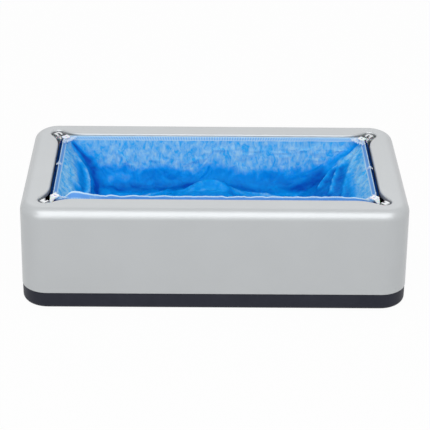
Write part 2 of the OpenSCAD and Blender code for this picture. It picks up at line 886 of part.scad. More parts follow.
base_tray();
housing();
rubber_feet();
housing_screws();
seat_screws();
clip_rivets();
guide_rail(-1, -1);  // guide_rail_fl
guide_rail(1, -1);  // guide_rail_fr
guide_rail(-1, 1);  // guide_rail_bl
guide_rail(1, 1);  // guide_rail_br
spring_clip(-1, -1);  // spring_clip_fl
spring_clip(1, -1);  // spring_clip_fr
spring_clip(-1, 1);  // spring_clip_bl
spring_clip(1, 1);  // spring_clip_br
spring_seat(-1, -1);  // spring_seat_fl
spring_seat(1, -1);  // spring_seat_fr
spring_seat(-1, 1);  // spring_seat_bl
spring_seat(1, 1);  // spring_seat_br
lift_spring(-1, -1);  // lift_spring_fl
lift_spring(1, -1);  // lift_spring_fr
lift_spring(-1, 1);  // lift_spring_bl
lift_spring(1, 1);  // lift_spring_br
pusher(-1, -1);  // pusher_fl
pusher(1, -1);  // pusher_fr
pusher(-1, 1);  // pusher_bl
pusher(1, 1);  // pusher_br
buckle_stack(-1, -1);  // buckle_stack_fl
buckle_stack(1, -1);  // buckle_stack_fr
buckle_stack(-1, 1);  // buckle_stack_bl
buckle_stack(1, 1);  // buckle_stack_br
top_buckle(-1, -1);  // top_buckle_fl
top_buckle(1, -1);  // top_buckle_fr
top_buckle(-1, 1);  // top_buckle_bl
top_buckle(1, 1);  // top_buckle_br
cover_pack();
top_cover();
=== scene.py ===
# %% [markdown]
# Shoe cover dispenser, dressed for a picture
#
# The CAD model gives every rigid piece at its true size: the moulded housing, the tray, four rails
# with clips, springs, followers and buckles. This lesson adds what CAD leaves out: the thin blue
# film, the pile of covers under it, and finishes that read as moulded plastic, metal and film.
# The model is loaded first and kept as it is.

# %% Load the imported model
import math
import random

import bpy
import numpy as np
from mathutils import Matrix, Vector, noise
from mathutils.bvhtree import BVHTree
from mathutils.geometry import delaunay_2d_cdt


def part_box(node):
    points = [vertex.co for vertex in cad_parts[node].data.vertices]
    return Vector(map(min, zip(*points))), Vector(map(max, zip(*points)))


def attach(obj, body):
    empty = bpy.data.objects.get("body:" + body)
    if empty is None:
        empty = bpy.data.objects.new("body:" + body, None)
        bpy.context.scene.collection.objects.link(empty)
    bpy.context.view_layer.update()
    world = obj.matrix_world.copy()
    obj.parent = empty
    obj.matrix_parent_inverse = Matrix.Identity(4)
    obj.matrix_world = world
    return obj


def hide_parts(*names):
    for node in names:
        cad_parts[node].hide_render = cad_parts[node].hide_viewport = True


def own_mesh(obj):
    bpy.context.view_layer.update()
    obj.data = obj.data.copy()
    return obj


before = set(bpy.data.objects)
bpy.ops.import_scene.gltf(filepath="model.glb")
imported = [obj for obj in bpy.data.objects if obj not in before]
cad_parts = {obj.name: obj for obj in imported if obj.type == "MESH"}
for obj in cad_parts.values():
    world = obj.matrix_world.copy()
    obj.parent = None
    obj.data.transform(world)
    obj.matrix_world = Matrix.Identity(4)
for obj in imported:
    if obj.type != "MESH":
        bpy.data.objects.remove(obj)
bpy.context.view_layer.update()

MM = 0.001

# %% [markdown]
# A helper for each thing that is done often. Colours are written as the hex values that a screen
# shows, and one function turns them into the linear values that Blender works with.

# %% Colours and nodes
def colour(hex_value):
    parts = [int(hex_value[i:i + 2], 16) / 255 for i in (1, 3, 5)]
    return [v / 12.92 if v <= 0.04045 else ((v + 0.055) / 1.055) ** 2.4 for v in parts] + [1.0]


def add(tree, kind, links=None, **settings):
    """Adds a node, gives it its settings, and links its inputs to outputs of other nodes.

    A setting is the name of an input, with _ for each space, or else a property of the node.
    """
    node = tree.nodes.new(kind)
    for name, value in settings.items():
        socket_name = name.replace("_", " ")
        if socket_name in node.inputs:
            node.inputs[socket_name].default_value = value
        else:
            setattr(node, name, value)
    for name, output in (links or {}).items():
        tree.links.new(output, node.inputs[name])
    return node


def new_material(name):
    material = bpy.data.materials.new(name)
    material.use_nodes = True
    material.node_tree.nodes.clear()
    return material, material.node_tree


MIX_A, MIX_B = 6, 7  # the colour inputs of a Mix node share their names with others, so they go by number
GRAIN_HIGH = 0.2 * MM  # how high the finest grain is drawn
print("mid grey as Blender works with it:", [round(part, 3) for part in colour("#808080")])

# %% [markdown]
# The photograph was taken from the front and a little above, with a long lens. The camera's place
# was worked out from the corners of the housing: 28 degrees up, less than one degree to the side.

# %% Camera
AIM = Vector((1.29, 0.0, 59.58)) * MM
CAMERA_DISTANCE = 1.7677
ELEVATION = math.radians(28.192)
AZIMUTH = math.radians(-0.781)
ROLL = math.radians(0.74)
FOCAL_PX = 1520.2
FRAME_PX = 430
SENSOR_MM = 36

level = math.cos(ELEVATION)
back = Vector((math.sin(AZIMUTH) * level, -math.cos(AZIMUTH) * level, math.sin(ELEVATION)))
right = Vector((math.cos(AZIMUTH), math.sin(AZIMUTH), 0))
up = back.cross(right)
turned_right = math.cos(ROLL) * right + math.sin(ROLL) * up
turned_up = -math.sin(ROLL) * right + math.cos(ROLL) * up

camera_data = bpy.data.cameras.new("photo_camera")
camera_data.sensor_width = SENSOR_MM
camera_data.lens = FOCAL_PX / FRAME_PX * SENSOR_MM
camera_data.clip_start = 0.05
camera_data.clip_end = 20
camera = bpy.data.objects.new("photo_camera", camera_data)
bpy.context.collection.objects.link(camera)
axes = Matrix((turned_right, turned_up, back)).transposed()
camera.matrix_world = Matrix.Translation(AIM + back * CAMERA_DISTANCE) @ axes.to_4x4()
bpy.context.scene.camera = camera
print("lens mm:", round(camera_data.lens, 1))

# %% [markdown]
# Housing: ABS sprayed with a fine silver paint under a satin clear coat. The flake shows as a very
# soft mottle, and the coat gives broad highlights on the rounded edge. Real flake is about 0.05 mm
# across, so it is drawn much coarser here, as coarse as it needs to be to show.

# %% Housing finish
FLAKE_MM, FLAKE_CLOUD_MM = 0.66667, 55.556


def flake_material(name, base, roughness, metallic):
    material, tree = new_material(name)
    place = add(tree, "ShaderNodeTexCoord")
    flake = add(tree, "ShaderNodeTexNoise", {"Vector": place.outputs["Object"]},
                Scale=1 / (FLAKE_MM * MM), Detail=2.0)
    cloud = add(tree, "ShaderNodeTexNoise", {"Vector": place.outputs["Object"]},
                Scale=1 / (FLAKE_CLOUD_MM * MM), Detail=3.0)
    tint = add(tree, "ShaderNodeMix", {"Factor": cloud.outputs["Fac"]}, data_type="RGBA")
    tint.inputs[MIX_A].default_value = colour(base[0])
    tint.inputs[MIX_B].default_value = colour(base[1])
    gloss = add(tree, "ShaderNodeMapRange", {"Value": flake.outputs["Fac"]},
                To_Min=roughness - 0.05, To_Max=roughness + 0.05)
    bump = add(tree, "ShaderNodeBump", {"Height": flake.outputs["Fac"]}, Strength=0.04, Distance=GRAIN_HIGH)
    shader = add(tree, "ShaderNodeBsdfPrincipled", {
        "Base Color": tint.outputs[2],
        "Roughness": gloss.outputs["Result"],
        "Normal": bump.outputs["Normal"],
    }, Metallic=metallic, Coat_Weight=0.25, Coat_Roughness=0.25)
    add(tree, "ShaderNodeOutputMaterial", {"Surface": shader.outputs[0]})
    return material


silver_paint = flake_material("silver_painted_abs", ("#b4b7b9", "#babdbf"), roughness=0.4, metallic=0.5)
print("silver paint, flake in mm:", FLAKE_MM)

# %% [markdown]
# Tray, feet and followers: plain moulded plastics. Spark erosion of the mould leaves a fine,
# even grain, so one recipe with different colours and grain serves for all of them.

# %% Moulded plastics and rubber
MOULD_CLOUD_MM = 25


def moulded(name, low, high, roughness, grain_mm=0.5, strength=0.12, ior=1.5):
    material, tree = new_material(name)
    place = add(tree, "ShaderNodeTexCoord")
    grain = add(tree, "ShaderNodeTexNoise", {"Vector": place.outputs["Object"]},
                Scale=1 / (grain_mm * MM), Detail=3.0)
    wide = add(tree, "ShaderNodeTexNoise", {"Vector": place.outputs["Object"]},
               Scale=1 / (MOULD_CLOUD_MM * MM), Detail=2.0)
    ramp = add(tree, "ShaderNodeValToRGB", {"Fac": wide.outputs["Fac"]})
    for stop, position, tint in zip(ramp.color_ramp.elements, (0.3, 0.7), (low, high)):
        stop.position, stop.color = position, colour(tint)
    bump = add(tree, "ShaderNodeBump", {"Height": grain.outputs["Fac"]},
               Strength=strength, Distance=GRAIN_HIGH)
    shader = add(tree, "ShaderNodeBsdfPrincipled", {
        "Base Color": ramp.outputs["Color"], "Normal": bump.outputs["Normal"],
    }, Roughness=roughness, IOR=ior)
    add(tree, "ShaderNodeOutputMaterial", {"Surface": shader.outputs[0]})
    return material


tray_plastic = moulded("blue_black_abs", "#1e202b", "#242631", 0.5, ior=1.3)
seat_plastic = moulded("black_abs", "#1d1e22", "#232428", 0.45)
foot_rubber = moulded("grey_rubber", "#5b5e62", "#66696d", 0.8, grain_mm=0.8, strength=0.3, ior=1.52)
follower_nylon = moulded("natural_nylon", "#b9bcbd", "#c6c8c7", 0.4, grain_mm=0.6, strength=0.08, ior=1.53)
print("moulded:", [m.name for m in (tray_plastic, seat_plastic, foot_rubber, follower_nylon)])

# %% [markdown]
# Metals. The rails are extruded aluminium with faint lines along the draw; the clips are spring
# steel, brushed across; screws and rivets are plain zinc-plated steel.

# %% Metals
def drawn_metal(name, base, roughness, stretch, lines_mm=0.4):
    material, tree = new_material(name)
    place = add(tree, "ShaderNodeTexCoord")
    along = add(tree, "ShaderNodeMapping", {"Vector": place.outputs["Object"]}, Scale=stretch)
    lines = add(tree, "ShaderNodeTexNoise", {"Vector": along.outputs["Vector"]},
                Scale=1 / (lines_mm * MM), Detail=4.0)
    gloss = add(tree, "ShaderNodeMapRange", {"Value": lines.outputs["Fac"]},
                To_Min=roughness - 0.1, To_Max=roughness + 0.1)
    bump = add(tree, "ShaderNodeBump", {"Height": lines.outputs["Fac"]}, Strength=0.15, Distance=GRAIN_HIGH)
    shader = add(tree, "ShaderNodeBsdfPrincipled", {
        "Roughness": gloss.outputs["Result"], "Normal": bump.outputs["Normal"],
    }, Metallic=1.0, Base_Color=colour(base))
    add(tree, "ShaderNodeOutputMaterial", {"Surface": shader.outputs[0]})
    return material


rail_metal = drawn_metal("extruded_aluminium", "#b4b7bb", 0.38, (1, 1, 0.03))
clip_metal = drawn_metal("spring_steel", "#d2d4d6", 0.25, (1, 1, 0.2))
screw_metal = drawn_metal("zinc_plated_steel", "#c3c5c8", 0.35, (1, 1, 1), lines_mm=0.8)
print("metals:", [m.name for m in (rail_metal, clip_metal, screw_metal)])

# %% [markdown]
# Buckles: thin injection-moulded polyethylene, milky and a little translucent, so light enters the
# edges. The blue of the film shows through faintly.

# %% Milky buckles
MILK_MM = 3.3333


def milky_material():
    material, tree = new_material("milky_polyethylene")
    place = add(tree, "ShaderNodeTexCoord")
    cloud = add(tree, "ShaderNodeTexNoise", {"Vector": place.outputs["Object"]},
                Scale=1 / (MILK_MM * MM), Detail=2.0)
    ramp = add(tree, "ShaderNodeValToRGB", {"Fac": cloud.outputs["Fac"]})
    ramp.color_ramp.elements[0].color = colour("#dfe6ec")
    ramp.color_ramp.elements[1].color = colour("#f1f4f6")
    bump = add(tree, "ShaderNodeBump", {"Height": cloud.outputs["Fac"]}, Strength=0.2, Distance=GRAIN_HIGH)
    shader = add(tree, "ShaderNodeBsdfPrincipled", {
        "Base Color": ramp.outputs["Color"], "Normal": bump.outputs["Normal"],
    }, Roughness=0.35, IOR=1.51, Subsurface_Weight=0.3, Subsurface_Scale=1 * MM)
    add(tree, "ShaderNodeOutputMaterial", {"Surface": shader.outputs[0]})
    return material


buckle_plastic = milky_material()
print("buckles:", buckle_plastic.name)

# %% [markdown]
# Each CAD node gets the finish of what it is made of. The nodes of the four corners carry the
# corner's letters, front or back and left or right. The two of film are left for later cells.

# %% Give the CAD nodes their finishes
CORNERS = ("fl", "fr", "bl", "br")
finishes = {
    "housing": silver_paint, "base_tray": tray_plastic, "rubber_feet": foot_rubber,
    "housing_screws": screw_metal, "seat_screws": screw_metal, "clip_rivets": screw_metal,
}
for corner in CORNERS:
    finishes.update({
        "guide_rail_" + corner: rail_metal, "spring_clip_" + corner: clip_metal,
        "spring_seat_" + corner: seat_plastic, "lift_spring_" + corner: clip_metal,
        "pusher_" + corner: follower_nylon, "buckle_stack_" + corner: buckle_plastic,
        "top_buckle_" + corner: buckle_plastic,
    })
for name, material in finishes.items():
    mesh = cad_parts[name].data
    mesh.materials.clear()
    mesh.materials.append(material)
print("finished CAD nodes:", len(finishes))

# %% [markdown]
# Lift springs: hard-drawn steel wire, coiled with closed ends. The CAD springs are rigid, so a
# follower that is pushed down would pass into them. Each is made again as by hand, a ring the size of
# the wire carried round by the Screw modifier.

# %% Lift springs
WIRE_MM, WIRE_SIDES = 0.7, 8
SPRING_TURNS, TURN_STEPS = 12, 24
CLOSED_TURNS = 2  # one at each end, where the wire lies on itself


def lift_spring(corner):
    low, high = (Vector(point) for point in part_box("lift_spring_" + corner))
    wire = WIRE_MM * MM
    coil_radius = (high.x - low.x - wire) / 2
    bpy.ops.object.select_all(action="DESELECT")
    bpy.ops.mesh.primitive_circle_add(
        vertices=WIRE_SIDES, radius=wire / 2, location=(coil_radius, 0, 0), rotation=(math.pi / 2, 0, 0))
    coil = bpy.context.object
    coil.name = "coil_spring_" + corner
    bpy.ops.object.transform_apply(location=True, rotation=True, scale=True)
    sweep = coil.modifiers.new("sweep", "SCREW")
    sweep.steps = sweep.render_steps = TURN_STEPS
    sweep.iterations = SPRING_TURNS
    sweep.screw_offset = wire
    bpy.ops.object.modifier_apply(modifier="sweep")
    stretch = high.z - low.z - wire * (SPRING_TURNS + 1)
    for number, vertex in enumerate(coil.data.vertices):
        turn = number // WIRE_SIDES / TURN_STEPS
        opened = min(1, max(0, (turn - CLOSED_TURNS / 2) / (SPRING_TURNS - CLOSED_TURNS)))
        vertex.co.z += low.z + wire / 2 + stretch * opened
        vertex.co.x += (low.x + high.x) / 2
        vertex.co.y += (low.y + high.y) / 2
    bpy.ops.object.mode_set(mode="EDIT")
    bpy.ops.mesh.select_all(action="SELECT")
    bpy.ops.mesh.fill_holes(sides=0)
    bpy.ops.mesh.select_all(action="SELECT")
    bpy.ops.mesh.normals_make_consistent(inside=False)
    bpy.ops.object.mode_set(mode="OBJECT")
    bpy.ops.object.shade_smooth_by_angle(angle=math.radians(50))
    coil.data.materials.append(clip_metal)
    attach(coil, "dispenser")
    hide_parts("lift_spring_" + corner)
    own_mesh(coil)
    return coil


for corner in CORNERS:
    coil = lift_spring(corner)
tops = [v.co.z for v in coil.data.vertices]
print("spring, mm: low", round(min(tops) / MM, 2), "high", round(max(tops) / MM, 2))
print("faces of a spring:", len(coil.data.polygons))

# %% [markdown]
# Film: blown polyethylene about 0.03 mm thick, blue, slightly waxy. Held up to the light it is pale
# sky blue and finely crinkled; where it lies on the covers below or turns away it goes deep. That light
# and shade are painted into the colour here: pale where the film is lit, with a painted sheen on the
# crinkles, deep over the pile, which is partly the film's own deeper blue and partly painted shade, and
# painted shade in the valleys. The welded hem round the mouth is two layers thick and pale at both
# edges, with a row of gathers between them; how blue its middle is, is painted light coming through it.
# Three attributes of the film say where that is: shade how deep the blue is and how much painted shade
# it carries, down how far below the mouth's edge, in widths of the hem, and along the way round the
# mouth in mm.

# %% Film finish
GATHER_STEP = 3.1
WRINKLE_MM, CREASE_MM, PATCH_MM = 5.2632, 11.111, 14.286


def film_material(name, crinkle_sheen_tints, deep_and_shaded_tints, hem_tints):
    """crinkle_sheen_tints are for film in painted light, paler as a painted sheen on its crinkles;
    deep_and_shaded_tints for film over the pile, partly its own deeper blue and partly painted shade, and
    for the painted shade in a valley.

    The hem's tints are its edges and the middle of its gathers, pale and deep.
    """
    material, tree = new_material(name)
    place = add(tree, "ShaderNodeTexCoord")
    drawn = add(tree, "ShaderNodeMapping", {"Vector": place.outputs["Object"]}, Scale=(1.0, 0.8, 0.55))
    wrinkle = add(tree, "ShaderNodeTexNoise", {"Vector": drawn.outputs["Vector"]},
                  Scale=1 / (WRINKLE_MM * MM), Detail=6.0, Roughness=0.62, Distortion=0.6)
    crease = add(tree, "ShaderNodeTexNoise", {"Vector": drawn.outputs["Vector"]},
                 noise_type="RIDGED_MULTIFRACTAL",
                 Scale=1 / (CREASE_MM * MM), Detail=3.0, Roughness=0.6, Distortion=0.5)
    relief = add(tree, "ShaderNodeMath", {0: wrinkle.outputs["Fac"], 1: crease.outputs["Fac"]},
                 operation="ADD")
    bump = add(tree, "ShaderNodeBump", {"Height": relief.outputs[0]}, Strength=0.5, Distance=1.1 * MM)
    # Painted sheen: the lit film is paler where the crinkle noise is high.
    sheen_on_crinkles = add(tree, "ShaderNodeValToRGB", {"Fac": wrinkle.outputs["Fac"]})
    for stop, position, tint in zip(sheen_on_crinkles.color_ramp.elements, (0.36, 0.66), crinkle_sheen_tints):
        stop.position, stop.color = position, colour(tint)

    # Painted shade: the shade attribute picks the deep tints, partly the film's own deeper blue over the
    # pile, partly painted shade.
    shade = add(tree, "ShaderNodeAttribute", attribute_name="shade")
    patch = add(tree, "ShaderNodeTexNoise", {"Vector": place.outputs["Object"]},
                Scale=1 / (PATCH_MM * MM), Detail=5.0, Distortion=0.8)
    wobble = add(tree, "ShaderNodeMapRange", {"Value": patch.outputs["Fac"]}, To_Min=-0.3, To_Max=0.3)
    depth = add(tree, "ShaderNodeMath", {0: shade.outputs["Fac"], 1: wobble.outputs["Result"]},
                operation="ADD", use_clamp=True)
    deep_and_shaded_tint = add(tree, "ShaderNodeValToRGB", {"Fac": depth.outputs[0]})
    for stop, position, tint in zip(deep_and_shaded_tint.color_ramp.elements, (0.5, 1.0), deep_and_shaded_tints):
        stop.position, stop.color = position, colour(tint)
    share = add(tree, "ShaderNodeMapRange", {"Value": depth.outputs[0]}, interpolation_type="SMOOTHSTEP",
                From_Min=0.05, From_Max=0.58)
    film_tint = add(tree, "ShaderNodeMix", {"Factor": share.outputs["Result"]}, data_type="RGBA")
    tree.links.new(sheen_on_crinkles.outputs["Color"], film_tint.inputs[MIX_A])
    tree.links.new(deep_and_shaded_tint.outputs["Color"], film_tint.inputs[MIX_B])

    down = add(tree, "ShaderNodeAttribute", attribute_name="down")
    along = add(tree, "ShaderNodeAttribute", attribute_name="along")
    turns = add(tree, "ShaderNodeMath", {0: along.outputs["Fac"]}, operation="MULTIPLY")
    turns.inputs[1].default_value = 2 * math.pi / GATHER_STEP
    wave = add(tree, "ShaderNodeMath", {0: turns.outputs[0]}, operation="SINE")
    gather = add(tree, "ShaderNodeMapRange", {"Value": wave.outputs[0]},
                 From_Min=-1.0, To_Min=0.3, To_Max=0.8)
    middle = add(tree, "ShaderNodeValToRGB", {"Fac": down.outputs["Fac"]})
    middle.color_ramp.elements[0].position = 0.12
    middle.color_ramp.elements[0].color = (0, 0, 0, 1)
    middle.color_ramp.elements[1].position = 0.25
    middle.color_ramp.elements[1].color = (1, 1, 1, 1)
    for position, value in ((0.75, 1), (0.92, 0.45)):
        stop = middle.color_ramp.elements.new(position)
        stop.color = (value, value, value, 1)
    # In the hem, shade is painted light through its middle: where less light comes through, the middle is
    # bluer.
    blue = add(tree, "ShaderNodeMath", {0: gather.outputs["Result"], 1: shade.outputs["Fac"]},
               operation="MAXIMUM")
    ribs = add(tree, "ShaderNodeMath", {0: blue.outputs[0], 1: middle.outputs["Color"]},
               operation="MULTIPLY")
    hem_tint = add(tree, "ShaderNodeMix", {"Factor": ribs.outputs[0]}, data_type="RGBA")
    between = add(tree, "ShaderNodeMix", {"Factor": shade.outputs["Fac"]}, data_type="RGBA")
    between.inputs[MIX_A].default_value = colour(hem_tints[1])
    between.inputs[MIX_B].default_value = colour(hem_tints[2])
    hem_tint.inputs[MIX_A].default_value = colour(hem_tints[0])
    tree.links.new(between.outputs[2], hem_tint.inputs[MIX_B])
    in_hem = add(tree, "ShaderNodeMath", {0: down.outputs["Fac"]}, operation="LESS_THAN")
    in_hem.inputs[1].default_value = 1.0
    tint = add(tree, "ShaderNodeMix", {"Factor": in_hem.outputs[0]}, data_type="RGBA")
    tree.links.new(film_tint.outputs[2], tint.inputs[MIX_A])
    tree.links.new(hem_tint.outputs[2], tint.inputs[MIX_B])

    shader = add(tree, "ShaderNodeBsdfPrincipled", {
        "Base Color": tint.outputs[2], "Normal": bump.outputs["Normal"],
    }, Roughness=0.45, IOR=1.5, Specular_IOR_Level=0.07)
    through = add(tree, "ShaderNodeBsdfTranslucent",
                  {"Color": tint.outputs[2], "Normal": bump.outputs["Normal"]})
    mixed = add(tree, "ShaderNodeMixShader", {1: shader.outputs[0], 2: through.outputs[0]}, Fac=0.25)
    add(tree, "ShaderNodeOutputMaterial", {"Surface": mixed.outputs[0]})
    return material


# The film's colours carry painted light and shade: pale where lit, deep over the pile and in the valleys.
film_finish = film_material(
    "blue_polyethylene_film", crinkle_sheen_tints=("#2ab8ff", "#ace2ff"), deep_and_shaded_tints=("#00a8ff", "#0558c4"),
    hem_tints=("#d8f4ff", "#66bcfb", "#0a84e6"))
# The covers below are the same blue film, painted dark navy as painted shade.
shaded_pack_film = film_material(
    "piled_film_painted_shade", crinkle_sheen_tints=("#1450a8", "#3577c4"), deep_and_shaded_tints=("#0f4796", "#08306e"),
    hem_tints=("#3577c4", "#1450a8", "#1450a8"))
print("film finishes:", film_finish.name, shaded_pack_film.name)

# %% [markdown]
# The film pocket. Four buckles pull the mouth of a flat bag into a rectangle just inside the
# opening. The bag is longer and deeper than the space, so its ends lean in, folds fan out from the
# corners, and the slack lies on the covers that wait below. It could be drawn as one smooth
# surface, but thin film never hangs smooth: so the main folds are laid out first, where they are
# seen, and a cloth simulation with a little spare length then crumples the film between them.

# %% Profile of the pocket, in millimetres
# Each column below is one level: its height, how far both ends and the sides are from the middle.
HEM_Z, HEM_DEEP = 122.0, 5.0
HEIGHTS = (HEM_Z, HEM_Z - HEM_DEEP, 104, 92, 82, 72, 64, 60.5)
LEFT_X = (178.6, 174.6, 165, 154.5, 147.5, 142.5, 137, 128)
RIGHT_X = (178.6, 174.6, 163, 149, 133, 116, 103, 94)
SIDE_Y = (81.2, 79.8, 76.8, 73.2, 70, 66.5, 62, 54)
MOUTH_CORNER, FLOOR_CORNER = 5, 16  # radius of the pocket's corners at the top and at the bottom
ROWS, HEM_ROWS = 30, 3
LONG_STEPS, SHORT_STEPS, CORNER_STEPS = 130, 60, 4
random.seed(11)


def bell(v):
    return math.exp(-v * v)


def smooth(low, high, v):
    """0 at low and beyond it, 1 at high and beyond it, whichever of them is larger."""
    t = min(1, max(0, (v - low) / (high - low)))
    return t * t * (3 - 2 * t)


SLANT_SHARE = 0.6  # how much of the right end's lean counts, because the other walls lean in less
run = [0.0]
for i in range(1, len(HEIGHTS)):
    slant = SLANT_SHARE * (RIGHT_X[i] - RIGHT_X[i - 1])
    run.append(run[-1] + math.hypot(HEIGHTS[i] - HEIGHTS[i - 1], slant))
hem_share = run[1] / run[-1]
shares = [hem_share * row / HEM_ROWS for row in range(HEM_ROWS)]
shares += [hem_share + (1 - hem_share) * row / (ROWS - HEM_ROWS) for row in range(ROWS - HEM_ROWS + 1)]
print("way down the wall, mm:", round(run[-1], 1), "of it hem:", round(run[1], 1))

# %% [markdown]
# The film's mesh: rings of points that follow the profile down, as many points in each, so that the
# faces between two rings are squares. The floor is made of triangles instead, because a pattern of
# squares would make the slack film fold along its lines.

# %% Rings of the walls
def wall_row(t):
    """Left and right end, half width, corner radius and height of the ring at a share t of the depth."""
    at = t * run[-1]
    columns = (LEFT_X, RIGHT_X, SIDE_Y, HEIGHTS)
    left_end, right_end, side, z = (float(np.interp(at, run, column)) for column in columns)
    return left_end, right_end, side, MOUTH_CORNER + (FLOOR_CORNER - MOUTH_CORNER) * t, z


def ring(left_end, right_end, side, radius):
    """Points round a rectangle with round corners, anticlockwise, the same number in every ring."""
    found = []
    corners = ((right_end, side, 0), (-left_end, side, 90),
               (-left_end, -side, 180), (right_end, -side, 270))
    centres = [(x - math.copysign(radius, x), y - math.copysign(radius, y), a) for x, y, a in corners]
    for index, (x, y, start) in enumerate(centres):
        arc = []
        for k in range(CORNER_STEPS + 1):
            angle = math.radians(start + 90 * k / CORNER_STEPS)
            arc.append((x + radius * math.cos(angle), y + radius * math.sin(angle)))
        next_x, next_y, _ = centres[(index + 1) % 4]
        angle = math.radians(start + 90)
        goal = (next_x + radius * math.cos(angle), next_y + radius * math.sin(angle))
        from_x, from_y = arc[-1]
        steps = LONG_STEPS if index % 2 == 0 else SHORT_STEPS
        found += arc[:-1]
        found += [(from_x + (goal[0] - from_x) * k / steps, from_y + (goal[1] - from_y) * k / steps)
                  for k in range(steps)]
    return found


points, rings, down, along = [], [], [], []
for row, share in enumerate(shares):
    left_end, right_end, side, radius, z = wall_row(share)
    outline = ring(left_end, right_end, side, radius)
    if row == 0:
        mouth = [0.0]
        for a, b in zip(outline, outline[1:]):
            mouth.append(mouth[-1] + math.dist(a, b))
    rings.append(range(len(points), len(points) + len(outline)))
    points += [(x, y, z) for x, y in outline]
    down += [min(2.0, row / HEM_ROWS)] * len(outline)
    along += mouth
ring_count = len(rings[0])
print("rings:", len(rings), "points in each:", ring_count)

# %% [markdown]
# The floor's points stand in staggered rows, each moved a little at random, and they keep clear of
# the last ring, which the triangles join them to.

# %% Floor between the walls
FLOOR_STEP = 3.0
EDGE_GAP = 0.6 * FLOOR_STEP
SCATTER = 0.4
inside, odd = [], False
y = -side + FLOOR_STEP
while y < side - EDGE_GAP:
    x = -left_end + FLOOR_STEP + (FLOOR_STEP / 2 if odd else 0)
    while x < right_end - EDGE_GAP:
        past_x = max(x - right_end + radius, -left_end + radius - x, 0)
        past_y = max(abs(y) - side + radius, 0)
        if math.hypot(past_x, past_y) < radius - EDGE_GAP:
            inside.append((x + random.uniform(-SCATTER, SCATTER), y + random.uniform(-SCATTER, SCATTER)))
        x += FLOOR_STEP
    y += FLOOR_STEP * 0.866  # the height of a triangle with three equal sides
    odd = not odd
flat_points = [Vector(points[i][:2]) for i in rings[-1]] + [Vector(p) for p in inside]
verts2d, _, floor_faces, _, _, _ = delaunay_2d_cdt(flat_points, [], [list(range(ring_count))], 1, 1e-6)
floor_index = list(rings[-1]) + list(range(len(points), len(points) + len(inside)))
points += [(x, y, z) for x, y in inside]
down += [2.0] * len(inside)
along += [0.0] * len(inside)
faces = []
for row in range(ROWS):
    for k in range(ring_count):
        n = (k + 1) % ring_count
        faces.append((rings[row][k], rings[row][n], rings[row + 1][n], rings[row + 1][k]))
faces += [tuple(floor_index[i] for i in face) for face in floor_faces]
print("film points:", len(points), "faces:", len(faces), "as laid out:", len(verts2d) == len(flat_points))

# %% [markdown]
# The main folds, each a line across the film with a height and a width: the fan from the back right
# corner, the crease in the back left one, the seams in the middle of both ends, the hump of slack
# in the middle. Small random ridges between them give the simulation something to start from.

# %% Main folds
film_mesh = bpy.data.meshes.new("top_film")
film_mesh.from_pydata(points, [], faces)
film = bpy.data.objects.new("top_film", film_mesh)
bpy.context.collection.objects.link(film)

FOLDS = (  # line, height, width
    (((-172, 77, 114), (-160, 74, 103), (-149, 68, 90), (-144, 62, 78)), -2.2, 3),
    (((-163, 66, 103), (-152, 60, 92), (-148, 42, 84), (-147, 0, 82), (-147, -40, 82)), 4.8, 3.5),
    (((-176, 0, 118), (-166, 2, 105), (-156, 3, 94)), 2.2, 2.6),
    (((-168, 34, 107), (-163, 12, 102)), 2.4, 9),
    (((-166, -8, 105), (-160, -34, 100)), 1.8, 7),
    (((171, 76, 114), (152, 70, 98), (128, 63, 83), (106, 54, 68)), -3.0, 6),
    (((170, 74, 112), (162, 70, 103), (151, 67, 94), (140, 59, 86), (124, 37, 77)), 4.4, 2.4),
    (((168, 71, 109), (156, 66, 98), (149, 56, 92), (144, 44, 89), (136, 10, 84)), 4.6, 2.4),
    (((171, 66, 112), (163, 52, 105), (155, 30, 99), (150, 6, 95), (146, -30, 91)), 3.6, 2.6),
    (((158, 30, 101), (163, 36, 104), (170, 24, 112), (176, 6, 119)), 2.6, 2.2),
    (((176, 2, 118), (170, 4, 110), (164, -4, 105)), 2.4, 2.6),
    (((113, 79, 116), (112, 73, 88)), -1.4, 2),
    (((62, 79, 113), (61, 76, 103)), -1.2, 2),
    (((-120, 77, 106), (-96, 72, 86)), 1.6, 2.4),
    (((-92, 77, 107), (-112, 72, 86)), 1.6, 2.4),
    (((-134, 60, 68), (-122, 64, 74), (-104, 64, 77)), 2.6, 5),
    (((-128, 36, 62), (-119, 46, 64), (-104, 56, 68)), 3.4, 2.4),
    (((-46, 56, 66), (-78, 42, 62), (-96, 24, 62)), 3.6, 3),
    (((24, 50, 66), (56, 46, 64), (84, 34, 62)), 5, 4),
    (((44, 60, 66), (74, 58, 66), (96, 44, 64)), 3, 4),
    (((-64, 34, 62), (-34, 50, 66), (-6, 56, 68), (30, 50, 66), (52, 36, 62)), 3, 2),
    (((-44, 30, 62), (-14, 42, 66), (16, 40, 66), (40, 26, 62)), 2.6, 2.2),
    (((2, 56, 66), (26, 50, 64), (44, 38, 62)), 2.6, 1.8),
    (((-104, 52, 62), (-92, 60, 66), (-74, 62, 68)), 2.4, 2.2),
    (((62, 44, 61), (70, 56, 65), (72, 64, 70)), 2.4, 2),
    (((86, 30, 61), (92, 46, 63), (90, 58, 68)), 2, 2),
)
HUMP_X, HUMP_Y, HUMP_HIGH, HUMP_HALF_LONG, HUMP_HALF_WIDE = -4, 48, 19, 34, 12
DEEPEST = -2.2
SMALL_RIDGES = 170


def near(point, line):
    """Distance of a point from a line of points, and how far along it that is, from 0 to 1."""
    best, share = 1e9, 0
    for i in range(len(line) - 1):
        a, b = np.array(line[i], float), np.array(line[i + 1], float)
        t = float(np.clip(np.dot(point - a, b - a) / np.dot(b - a, b - a), 0, 1))
        gap = float(np.linalg.norm(point - a - t * (b - a)))
        if gap < best:
            best, share = gap, (i + t) / (len(line) - 1)
    return best, share


